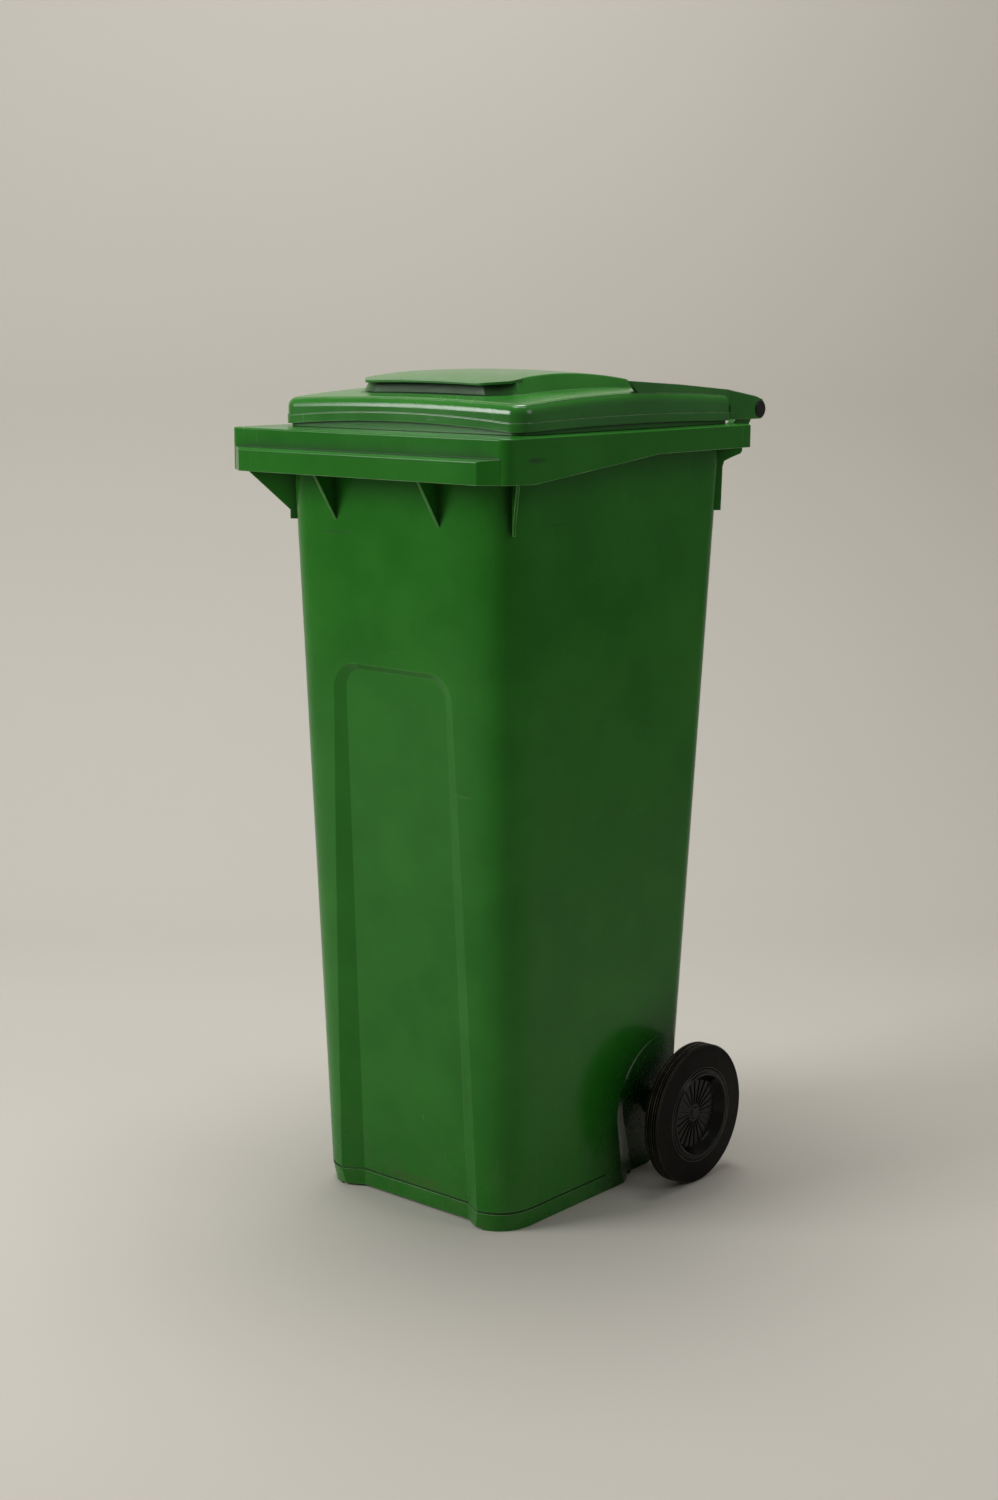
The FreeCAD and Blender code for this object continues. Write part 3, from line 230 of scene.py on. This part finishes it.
def make_scuffs():
    """Thin upright rub marks, thickest on the rim, and stray scratches: a mask from 0 to 1 for each."""
    group, graph, ins, outs = new_group("scuffs")
    group_socket(group, "NodeSocketVector", "Vector", "INPUT")
    group_socket(group, "NodeSocketFloat", "Upright", "OUTPUT")
    group_socket(group, "NodeSocketFloat", "Stray", "OUTPUT")
    place = ins.outputs["Vector"]
    lines = graph.noise(graph.stretched(place, (170.0, 170.0, 2.5)), scale=1.0, detail=3.0, roughness=0.7)
    where = graph.remap(graph.noise(place, scale=7.0), 0.42, 0.68)
    rim = graph.remap(height_of(graph, place), RIM_TOP - RIM_RUB_START, RIM_TOP - RIM_RUB_FULL, to_low=0.35)
    upright = graph.math("MULTIPLY", graph.remap(lines, 0.6, 0.78), graph.math("MULTIPLY", where, rim))
    graph.join(upright, outs.inputs["Upright"])
    turned = graph.node("ShaderNodeMapping")
    graph.join(place, turned.inputs["Vector"])
    turned.inputs["Rotation"].default_value = (0.6, 0.5, 0.3)
    turned.inputs["Scale"].default_value = (9.0, 120.0, 120.0)
    strokes = graph.noise(turned.outputs["Vector"], scale=1.0, roughness=0.6)
    patches = graph.remap(graph.noise(place, scale=16.0), 0.58, 0.7)
    graph.join(graph.math("MULTIPLY", graph.remap(strokes, 0.68, 0.76), patches), outs.inputs["Stray"])
    return group


def make_dust():
    """Road dust that thins out with height and lies in patches: a mask from 0 to 1."""
    group, graph, ins, outs = new_group("road dust")
    group_socket(group, "NodeSocketVector", "Vector", "INPUT")
    group_socket(group, "NodeSocketFloat", "Top", "INPUT", 0.3)
    group_socket(group, "NodeSocketFloat", "Mask", "OUTPUT")
    place = ins.outputs["Vector"]
    made = graph.node("ShaderNodeMapRange", clamp=True)
    graph.join(height_of(graph, place), made.inputs["Value"])
    made.inputs["From Min"].default_value = 0.0
    graph.join(ins.outputs["Top"], made.inputs["From Max"])
    made.inputs["To Min"].default_value = 1.0
    made.inputs["To Max"].default_value = 0.0
    patches = graph.remap(graph.noise(place, scale=28.0, detail=4.0, roughness=0.6), 0.35, 0.7)
    graph.join(graph.math("MULTIPLY", made.outputs["Result"], patches), outs.inputs["Mask"])
    return group


def make_mark():
    """One soft-edged mark at a place: a mask from 0 to 1 inside an ellipsoid, broken by grain."""
    group, graph, ins, outs = new_group("single mark")
    group_socket(group, "NodeSocketVector", "Vector", "INPUT")
    group_socket(group, "NodeSocketVector", "Centre", "INPUT")
    group_socket(group, "NodeSocketVector", "Reach", "INPUT", (0.01, 0.01, 0.01))
    group_socket(group, "NodeSocketFloat", "Mask", "OUTPUT")
    away = graph.node("ShaderNodeVectorMath", operation="SUBTRACT")
    graph.join(ins.outputs["Vector"], away.inputs[0])
    graph.join(ins.outputs["Centre"], away.inputs[1])
    shrunk = graph.node("ShaderNodeVectorMath", operation="DIVIDE")
    graph.join(away.outputs["Vector"], shrunk.inputs[0])
    graph.join(ins.outputs["Reach"], shrunk.inputs[1])
    length = graph.node("ShaderNodeVectorMath", operation="LENGTH")
    graph.join(shrunk.outputs["Vector"], length.inputs[0])
    spot = graph.remap(length.outputs["Value"], 1.0, 0.45)
    grain = graph.remap(graph.noise(ins.outputs["Vector"], scale=300.0), 0.3, 0.5, to_low=0.35)
    graph.join(graph.math("MULTIPLY", spot, grain), outs.inputs["Mask"])
    return group


EDGE_WEAR_AND_PAINTED_LIGHT = make_edge_wear_and_painted_light()
SKIN = make_moulded_skin()
SCUFFS = make_scuffs()
DUST = make_dust()
MARK = make_mark()


# ---------------------------------------------------------------- materials
def new_material(name):
    """A bare material: itself, its graph, its shader and the place on the piece that is shaded."""
    material = bpy.data.materials.new(name)
    material.use_nodes = True
    tree = material.node_tree
    tree.nodes.clear()
    graph = Graph(tree)
    shader = graph.node("ShaderNodeBsdfPrincipled")
    output = graph.node("ShaderNodeOutputMaterial")
    graph.join(shader.outputs["BSDF"], output.inputs["Surface"])
    place = graph.node("ShaderNodeTexCoord").outputs["Object"]
    return material, graph, shader, place


def bump(graph, shader, height, strength, distance, normal=None):
    """Raise the shader's surface by a height, on top of another normal if one is given."""
    made = graph.node("ShaderNodeBump")
    made.inputs["Strength"].default_value = strength
    made.inputs["Distance"].default_value = distance
    graph.join(height, made.inputs["Height"])
    if normal is not None:
        graph.join(normal, made.inputs["Normal"])
    graph.join(made.outputs["Normal"], shader.inputs["Normal"])


# Each mark: its centre, its reach along X, Y and Z, its colour and its strength.
BODY_MARKS = (
    ((0.2410, -0.2210, 1.0170), (0.006, 0.022, 0.004), (0.020, 0.045, 0.022, 1.0), 0.75),
    ((-0.0900, -0.2310, 0.9120), (0.040, 0.010, 0.0018), (0.030, 0.080, 0.030, 1.0), 0.6),
    ((0.0200, -0.1950, 0.1300), (0.002, 0.012, 0.007), (0.100, 0.220, 0.090, 1.0), 0.4),
    ((0.1950, -0.1200, 0.9300), (0.006, 0.050, 0.0016), (0.020, 0.060, 0.025, 1.0), 0.5),
    # The two wheel-pocket marks are painted shade: the body round each wheel darkened towards near-black
    # green.
    ((0.1900, 0.1450, 0.0700), (0.110, 0.200, 0.200), POCKET_PAINTED_SHADE, 0.95),
    ((-0.1900, 0.1450, 0.0700), (0.110, 0.200, 0.200), POCKET_PAINTED_SHADE, 0.95),
    ((0.0000, -0.2050, 0.0350), (0.090, 0.030, 0.014), (0.060, 0.048, 0.020, 1.0), 0.5),
)
LID_MARKS = (
    ((0.0600, -0.2100, 1.0600), (0.012, 0.006, 0.0016), (0.140, 0.240, 0.120, 1.0), 0.5),
)


def green_plastic(name, deep, light, gloss, marks):
    """Glossy green polyethylene: worn edges with painted highlight, scuffs, marks, dust and painted shade."""
    material, graph, shader, place = new_material(name)
    edges = place_group(graph, EDGE_WEAR_AND_PAINTED_LIGHT, Vector=place, Radius=BODY_EDGE)
    skin = place_group(graph, SKIN, Vector=place)
    scuffs = place_group(graph, SCUFFS, Vector=place)
    dust = place_group(graph, DUST, Vector=place, Top=BODY_DUST_TOP)
    painted_shade = edges.outputs["Painted shade"]
    colour = graph.mix(graph.remap(skin.outputs["Cloud"], *CLOUD_SPAN), deep, light)
    colour = graph.coat(colour, RUBBED_AND_HIGHLIGHT_GREEN, scuffs.outputs["Upright"], strength=0.10)
    colour = graph.coat(colour, RUBBED_AND_HIGHLIGHT_GREEN, scuffs.outputs["Stray"], strength=0.12)
    # Edge coat: partly rubbed wear, partly a painted highlight along the rounded edges.
    colour = graph.coat(colour, RUBBED_AND_HIGHLIGHT_GREEN, edges.outputs["Mask"], strength=0.9)
    for centre, reach, tone, strength in marks:
        mark = place_group(graph, MARK, Vector=place, Centre=centre, Reach=reach)
        colour = graph.coat(colour, tone, mark.outputs["Mask"], strength)
    colour = graph.coat(colour, DUST_ON_GREEN, dust.outputs["Mask"], strength=0.12)
    # Painted shade: sheltered creases, corners and recesses darkened towards near-black green
    colour = graph.coat(colour, PAINTED_SHADE_GREEN, painted_shade, strength=0.85)
    graph.join(colour, shader.inputs["Base Color"])
    rough = graph.remap(skin.outputs["Cloud"], *CLOUD_SPAN, to_low=0.17, to_high=0.25)
    rough = graph.raised(rough, painted_shade, amount=0.5)
    rough = graph.raised(rough, scuffs.outputs["Upright"], amount=0.2)
    rough = graph.raised(rough, dust.outputs["Mask"], amount=0.2)
    graph.join(rough, shader.inputs["Roughness"])
    shader.inputs["Specular IOR Level"].default_value = gloss
    bump(graph, shader, skin.outputs["Height"], strength=0.3, distance=0.0016, normal=edges.outputs["Normal"])
    return material


def black_plastic(name, shade, roughness, gloss, wear):
    """Moulded black plastic, dusty low down."""
    material, graph, shader, place = new_material(name)
    edges = place_group(graph, EDGE_WEAR_AND_PAINTED_LIGHT, Vector=place, Radius=BLACK_EDGE)
    skin = place_group(graph, SKIN, Vector=place)
    dust = place_group(graph, DUST, Vector=place, Top=BLACK_DUST_TOP)
    base = (shade, shade, shade * BLACK_BLUE_CAST, 1.0)
    cloud = graph.remap(skin.outputs["Cloud"], *CLOUD_SPAN, to_high=0.02)
    colour = graph.mix(cloud, base, WORN_BLACK)
    colour = graph.coat(colour, WORN_BLACK, edges.outputs["Mask"], strength=wear)
    colour = graph.coat(colour, DUST_ON_BLACK, dust.outputs["Mask"], strength=0.03)
    graph.join(colour, shader.inputs["Base Color"])
    graph.join(graph.raised(roughness, dust.outputs["Mask"], amount=0.2), shader.inputs["Roughness"])
    shader.inputs["Specular IOR Level"].default_value = gloss
    bump(graph, shader, skin.outputs["Height"], strength=0.1, distance=0.0006, normal=edges.outputs["Normal"])
    return material


def tyre_rubber():
    """Black rubber, its tread rib edges pale and dusty, partly a painted highlight."""
    material, graph, shader, place = new_material("tyre rubber")
    edges = place_group(graph, EDGE_WEAR_AND_PAINTED_LIGHT, Vector=place, Radius=TYRE_EDGE)
    dust = place_group(graph, DUST, Vector=place, Top=TYRE_DUST_TOP)
    mottle = graph.noise(place, scale=60.0, detail=5.0, roughness=0.65)
    colour = graph.mix(graph.remap(mottle, 0.3, 0.75), RUBBER_DEEP, RUBBER_LIGHT)
    # Rib edges: partly rubbed dust, partly a painted highlight.
    colour = graph.coat(colour, RUBBED_AND_HIGHLIGHT_RUBBER, edges.outputs["Mask"], strength=0.9)
    colour = graph.coat(colour, DUST_ON_RUBBER, dust.outputs["Mask"], strength=0.04)
    shader.inputs["Specular IOR Level"].default_value = 0.07
    graph.join(colour, shader.inputs["Base Color"])
    graph.join(graph.remap(mottle, 0.2, 0.8, to_low=0.42, to_high=0.62), shader.inputs["Roughness"])
    grain = graph.noise(place, scale=700.0, detail=3.0)
    bump(graph, shader, grain, strength=0.2, distance=0.0004, normal=edges.outputs["Normal"])
    return material


def plated_steel(name, roughness):
    """Bright plated steel, drawn lengthwise along X and stained brown in spots."""
    material, graph, shader, place = new_material(name)
    brushed = graph.noise(graph.stretched(place, (6.0, 500.0, 500.0)), scale=1.0, detail=3.0)
    stains = graph.remap(graph.noise(place, scale=30.0, detail=5.0, roughness=0.6), 0.55, 0.75)
    colour = graph.mix(graph.remap(brushed, 0.3, 0.7), STEEL_DARK, STEEL_LIGHT)
    colour = graph.coat(colour, STEEL_STAIN, stains, strength=0.5)
    graph.join(colour, shader.inputs["Base Color"])
    graph.join(graph.remap(stains, 0.0, 1.0, to_low=0.95, to_high=0.5), shader.inputs["Metallic"])
    rough = graph.remap(brushed, 0.2, 0.8, to_low=roughness, to_high=roughness + 0.15)
    graph.join(rough, shader.inputs["Roughness"])
    bump(graph, shader, brushed, strength=0.1, distance=0.0003)
    return material


BODY_GREEN = green_plastic("body green plastic", BODY_DEEP, BODY_LIGHT, gloss=0.20, marks=BODY_MARKS)
LID_GREEN = green_plastic("lid green plastic", LID_DEEP, LID_LIGHT, gloss=0.50, marks=LID_MARKS)
PIN_BLACK = black_plastic("pin black plastic", shade=0.006, roughness=0.40, gloss=0.3, wear=0.3)
HUB_BLACK = black_plastic("hub glossy black", shade=0.0008, roughness=0.12, gloss=0.16, wear=0.05)
RUBBER = tyre_rubber()
AXLE_STEEL = plated_steel("axle plated steel", roughness=0.3)
SPRING_STEEL = plated_steel("spring wire", roughness=0.35)

FINISHES = {
    "bin_body": BODY_GREEN,
    "lid": LID_GREEN,
    "hinge_pin": PIN_BLACK,
    "axle_spacer": PIN_BLACK,
    "axle": AXLE_STEEL,
    "wheel_hub": HUB_BLACK,
    "tyre": RUBBER,
    "wheel_lock_plunger": PIN_BLACK,
    "wheel_lock_spring": SPRING_STEEL,
}


def dress_nodes():
    """Each CAD node takes the finish of its kind."""
    for name, node in NODES.items():
        kind = name.removesuffix("_left").removesuffix("_right")
        node.data.materials.clear()
        node.data.materials.append(FINISHES[kind])


# ---------------------------------------------------------------- stage
def stage_material(name, colour, roughness):
    """Plain matt finish that is clear from behind, so that it hides nothing in other views."""
    material, graph, shader, place = new_material(name)
    clear = graph.node("ShaderNodeBsdfTransparent")
    either = graph.node("ShaderNodeMixShader")
    graph.join(graph.node("ShaderNodeNewGeometry").outputs["Backfacing"], either.inputs["Fac"])
    graph.join(shader.outputs["BSDF"], either.inputs[1])
    graph.join(clear.outputs["BSDF"], either.inputs[2])
    output = next(node for node in material.node_tree.nodes if node.type == "OUTPUT_MATERIAL")
    graph.join(either.outputs["Shader"], output.inputs["Surface"])
    shade = graph.noise(place, scale=2.0)
    darker = tuple(part * FLOOR_SHADING for part in colour[:3]) + (1.0,)
    graph.join(graph.mix(shade, darker, colour), shader.inputs["Base Color"])
    shader.inputs["Roughness"].default_value = roughness
    return material


def select_backdrop_foot(sweep):
    """In edit mode, select the floor's far edge, where the backdrop stands, and nothing else."""
    bpy.ops.object.mode_set(mode="EDIT")
    bpy.ops.mesh.select_all(action="DESELECT")
    bpy.ops.object.mode_set(mode="OBJECT")
    for edge in sweep.data.edges:
        ends = [sweep.data.vertices[n].co for n in edge.vertices]
        edge.select = all(end.y > FLOOR_BEHIND - SWEEP_MARGIN and end.z < SWEEP_MARGIN for end in ends)
    bpy.ops.object.mode_set(mode="EDIT")


def build_stage():
    """Pale floor that sweeps up into a backdrop, square to the camera's view."""
    bpy.ops.object.select_all(action="DESELECT")
    bpy.ops.mesh.primitive_plane_add(size=FLOOR_SIZE, location=(0.0, FLOOR_BEHIND - FLOOR_SIZE / 2, 0.0))
    sweep = bpy.context.object
    sweep.name = "floor and backdrop"
    bpy.ops.object.transform_apply(location=True, rotation=True, scale=True)
    select_backdrop_foot(sweep)
    bpy.ops.mesh.extrude_region_move(TRANSFORM_OT_translate={"value": (0.0, 0.0, BACKDROP_HEIGHT)})
    select_backdrop_foot(sweep)
    bpy.ops.mesh.bevel(offset=SWEEP_RADIUS, segments=SWEEP_SEGMENTS, affect="EDGES")
    bpy.ops.object.mode_set(mode="OBJECT")
    bpy.ops.object.shade_smooth()
    sweep.rotation_euler.z = math.radians(CAMERA_TURN)
    bpy.ops.object.transform_apply(location=True, rotation=True, scale=True)
    sweep.data.materials.append(stage_material("pale floor", FLOOR_COLOUR, roughness=0.85))


def area_lamp(name, place, target, size, power):
    """A white rectangular lamp at a place, turned to a target; its power is in watts."""
    data = bpy.data.lights.new(name, "AREA")
    data.shape = "RECTANGLE"
    data.size, data.size_y = size
    data.energy = power
    lamp = bpy.data.objects.new(name, data)
    bpy.context.scene.collection.objects.link(lamp)
    lamp.location = place
    lamp.rotation_euler = (Vector(target) - Vector(place)).to_track_quat("-Z", "Y").to_euler()


def build_lights():
    """Even, soft light: a broad source ahead and to the left, one above and a weak one on the right."""
    world = bpy.data.worlds.new("studio")
    bpy.context.scene.world = world
    world.use_nodes = True
    world.node_tree.nodes.clear()
    graph = Graph(world.node_tree)
    background = graph.node("ShaderNodeBackground")
    output = graph.node("ShaderNodeOutputWorld")
    background.inputs["Color"].default_value = STUDIO_LIGHT
    background.inputs["Strength"].default_value = STUDIO_STRENGTH
    seen = graph.node("ShaderNodeBackground")
    seen.inputs["Color"].default_value = STUDIO_SEEN
    either = graph.node("ShaderNodeMixShader")
    graph.join(graph.node("ShaderNodeLightPath").outputs["Is Camera Ray"], either.inputs["Fac"])
    graph.join(background.outputs["Background"], either.inputs[1])
    graph.join(seen.outputs["Background"], either.inputs[2])
    graph.join(either.outputs["Shader"], output.inputs["Surface"])
    middle = (0.0, 0.0, 0.6)
    upper_part = (0.0, 0.0, 0.8)
    area_lamp("front softbox", (-2.0, -3.2, 2.3), middle, size=(1.8, 1.7), power=112.0)
    area_lamp("top softbox", (-0.3, 0.2, 3.4), middle, size=(1.6, 1.6), power=76.0)
    area_lamp("side fill", (3.2, 0.6, 2.5), upper_part, size=(1.6, 1.8), power=18.0)


def build_camera():
    """Camera ahead of the bin's front right corner, a little above the lid."""
    data = bpy.data.cameras.new("camera")
    data.lens = CAMERA_LENS
    data.sensor_width = CAMERA_SENSOR
    data.sensor_fit = "AUTO"
    camera = bpy.data.objects.new("camera", data)
    bpy.context.scene.collection.objects.link(camera)
    camera.location = CAMERA_PLACE
    camera.rotation_euler = (math.radians(CAMERA_TILT), 0.0, math.radians(CAMERA_TURN))
    bpy.context.scene.camera = camera


# ---------------------------------------------------------------- build
dress_nodes()
build_stage()
build_lights()
build_camera()
bpy.context.scene.view_settings.view_transform = "Standard"
